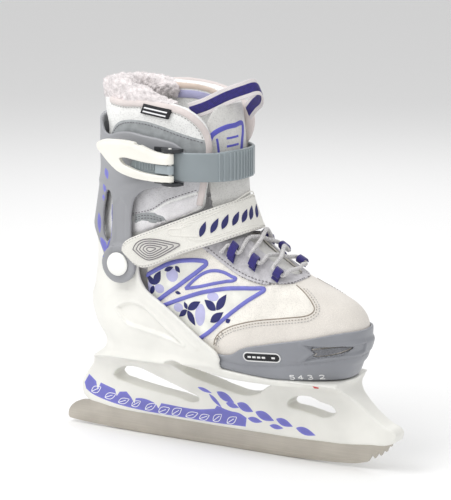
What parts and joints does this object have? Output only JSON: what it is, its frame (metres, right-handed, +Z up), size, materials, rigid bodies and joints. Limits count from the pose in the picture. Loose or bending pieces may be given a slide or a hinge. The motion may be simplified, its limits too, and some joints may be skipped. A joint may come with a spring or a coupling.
{
  "type": "adjustable ice skate",
  "caption": "Size-adjustable recreational ice skate with a hinged buckle cuff, sliding toe section, laces, instep strap and steel blade.",
  "frame": {"origin": "middle of the blade's flat running edge, where it stands on the ice", "axes": "+X towards the toe, +Y towards the medial (inner) side of this right-foot skate, +Z up from the ice"},
  "size_m": [0.2978, 0.1026, 0.2876],
  "materials": {
    "shell_white": "moulded, soft gloss",
    "blade_steel": "ground along its length",
    "rivet_steel": "plain",
    "cap_white": "gloss",
    "cuff_grey": "moulded, satin",
    "strap_grey": "moulded, satin",
    "buckle_dark": "moulded, matte",
    "lever_white": "gloss",
    "toe_grey": "moulded, satin",
    "button_grey": "fine grid texture",
    "toe_leather": "fine grain",
    "upper_fabric": "woven, printed",
    "eyestay_grey": "suede, double stitched",
    "lining_pile": "brushed pile",
    "tongue_mesh": "spacer mesh",
    "strap_leather": "smooth, stitched edge",
    "webbing_navy": "woven webbing",
    "lace_grey": "round braid",
    "footbed_foam": "felted foam"
  },
  "bodies": {
    "chassis": {"blade": "blade_steel", "shell_frame": "shell_white", "footbed": "footbed_foam", "liner": "lining_pile", "tongue": "tongue_mesh", "pull_loop": "webbing_navy", "pivot_rivet_lateral": "rivet_steel", "pivot_rivet_medial": "rivet_steel", "pivot_cap_lateral": "cap_white", "pivot_cap_medial": "cap_white", "instep_bracket": "buckle_dark", "instep_pin": "rivet_steel", "instep_rivet_1": "rivet_steel", "instep_rivet_2": "rivet_steel"},
    "slider": {"toe_shell": "toe_grey", "vamp": "upper_fabric", "toe_cap": "toe_leather", "gusset": "tongue_mesh", "eyestay": "eyestay_grey", "lace": "lace_grey", "lace_loop_lateral_1": "webbing_navy", "lace_loop_lateral_2": "webbing_navy", "lace_loop_lateral_3": "webbing_navy", "lace_loop_medial_1": "webbing_navy", "lace_loop_medial_2": "webbing_navy", "lace_loop_medial_3": "webbing_navy"},
    "size_button": {"size_button": "button_grey"},
    "cuff": {"cuff_shell": "cuff_grey", "collar": "lining_pile", "buckle_base": "buckle_dark", "buckle_pin": "cap_white", "buckle_rivet_1": "rivet_steel", "buckle_rivet_2": "rivet_steel", "strap_bracket": "buckle_dark", "strap_pin": "rivet_steel", "bracket_rivet_1": "rivet_steel", "bracket_rivet_2": "rivet_steel"},
    "buckle_lever": {"buckle_lever": "lever_white"},
    "buckle_pawl": {"buckle_pawl": "buckle_dark"},
    "cuff_strap": {"cuff_strap": "strap_grey"},
    "instep_strap": {"instep_strap": "strap_leather"}
  },
  "joints": [
    {"name": "toe_slide", "type": "slide", "parent": "chassis", "child": "slider", "axis": [1, 0, 0], "range_m": [0, 0.0254]},
    {"name": "cuff_hinge", "type": "hinge", "parent": "chassis", "child": "cuff", "pos_m": [-0.069, 0, 0.145], "axis": [0, 1, 0], "range_deg": [-3, 7]},
    {"name": "lever_hinge", "type": "hinge", "parent": "cuff", "child": "buckle_lever", "pos_m": [-0.017, -0.0485, 0.225], "axis": [0, 0, 1], "range_deg": [0, 110]},
    {"name": "pawl_hinge", "type": "hinge", "parent": "cuff", "child": "buckle_pawl", "pos_m": [-0.017, -0.0485, 0.225], "axis": [0, 0, 1], "range_deg": [0, 10], "stiffness_Nm_per_rad": 0.02},
    {"name": "strap_hinge", "type": "hinge", "parent": "cuff", "child": "cuff_strap", "pos_m": [-0.04, 0.0465, 0.225], "axis": [0, 0, 1], "range_deg": [0, 100]},
    {"name": "instep_hinge", "type": "hinge", "parent": "chassis", "child": "instep_strap", "pos_m": [-0.02464, 0.0475, 0.16602], "axis": [-0.3783, 0, 0.9257], "range_deg": [0, 80]},
    {"name": "button_press", "type": "slide", "parent": "slider", "child": "size_button", "axis": [0, 1, 0], "range_m": [0, 0.0015], "stiffness_N_per_m": 500}
  ]
}
